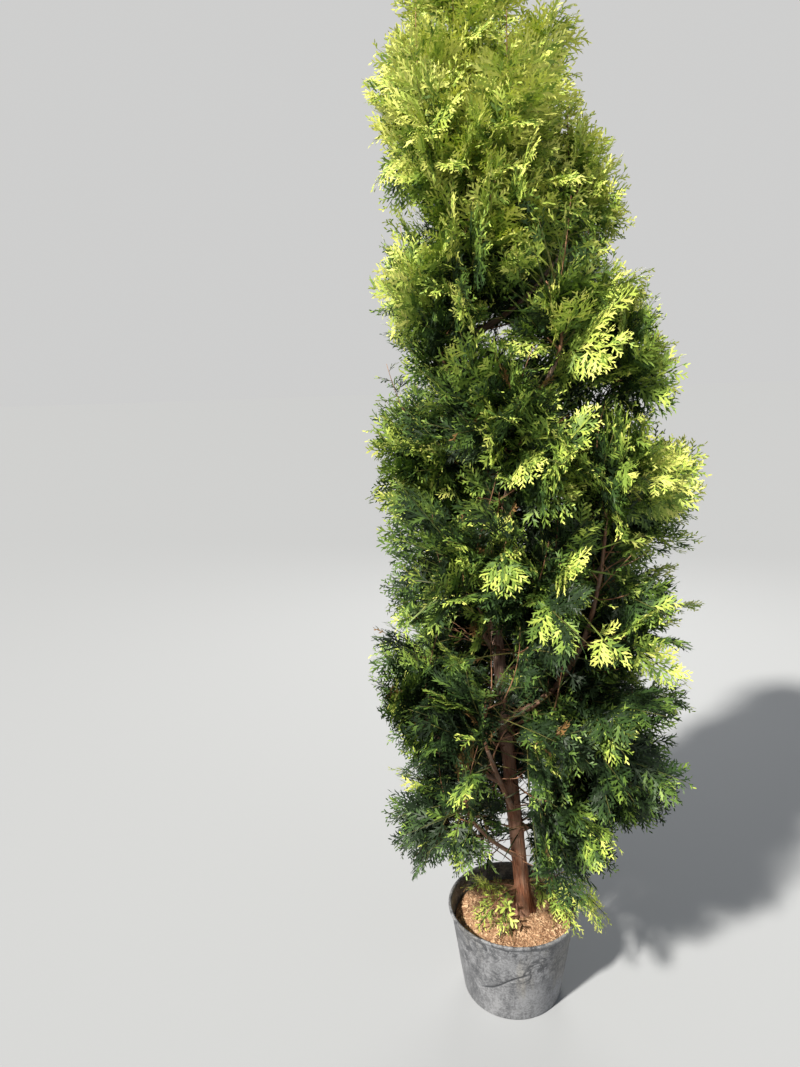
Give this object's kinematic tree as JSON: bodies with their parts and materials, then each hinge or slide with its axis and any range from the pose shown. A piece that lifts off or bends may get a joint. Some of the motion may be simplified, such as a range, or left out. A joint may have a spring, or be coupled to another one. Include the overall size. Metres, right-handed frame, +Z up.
{
  "type": "potted thuja",
  "caption": "Young upright thuja with a leaning trunk, arching boughs and flat yellow-green sprays of foliage, growing in a round black plastic nursery pot.",
  "frame": {"origin": "centre of the pot's flat underside", "axes": "+Z up along the plant; +X to the right and +Y away from the viewer as the plant is seen from its front"},
  "size_m": [0.6663, 0.6572, 2.1371],
  "materials": {
    "pot_plastic": "dusty matte",
    "potting_soil": "crumbly",
    "trunk_bark": "fibrous bark",
    "bough_bark": "smooth bark",
    "foliage": "satin"
  },
  "bodies": {
    "root": {"pot": "pot_plastic", "soil": "potting_soil", "trunk": "trunk_bark", "side_stem": "trunk_bark", "bough_back_high": "bough_bark", "bough_back_left": "bough_bark", "bough_back_mid": "bough_bark", "bough_back_right": "bough_bark", "bough_back_top": "bough_bark", "bough_front_high": "bough_bark", "bough_front_leader": "bough_bark", "bough_left_high": "bough_bark", "bough_left_mid": "bough_bark", "bough_left_sweep": "bough_bark", "bough_left_top": "bough_bark", "bough_long_left": "bough_bark", "bough_low_back": "bough_bark", "bough_low_left": "bough_bark", "bough_low_right": "bough_bark", "bough_right_fork": "bough_bark", "bough_right_high": "bough_bark", "bough_right_mid": "bough_bark", "bough_right_rise": "bough_bark", "bough_right_sweep": "bough_bark", "bough_short_left": "bough_bark", "foliage_back_high": "foliage", "foliage_back_left": "foliage", "foliage_back_mid": "foliage", "foliage_back_right": "foliage", "foliage_back_top": "foliage", "foliage_foot_left": "foliage", "foliage_front_high": "foliage", "foliage_front_leader": "foliage", "foliage_high_front": "foliage", "foliage_leading_shoot": "foliage", "foliage_left_high": "foliage", "foliage_left_mid": "foliage", "foliage_left_sweep": "foliage", "foliage_left_top": "foliage", "foliage_long_left": "foliage", "foliage_low_back": "foliage", "foliage_low_front": "foliage", "foliage_low_left": "foliage", "foliage_low_right": "foliage", "foliage_mid_front": "foliage", "foliage_mid_rear": "foliage", "foliage_mid_right": "foliage", "foliage_over_rim": "foliage", "foliage_right_fork": "foliage", "foliage_right_high": "foliage", "foliage_right_mid": "foliage", "foliage_right_rise": "foliage", "foliage_short_left": "foliage", "foliage_side_stem": "foliage", "foliage_top_front": "foliage", "foliage_top_left": "foliage", "foliage_top_right": "foliage", "foliage_upper_front": "foliage", "foliage_upper_rear": "foliage"}
  },
  "joints": []
}
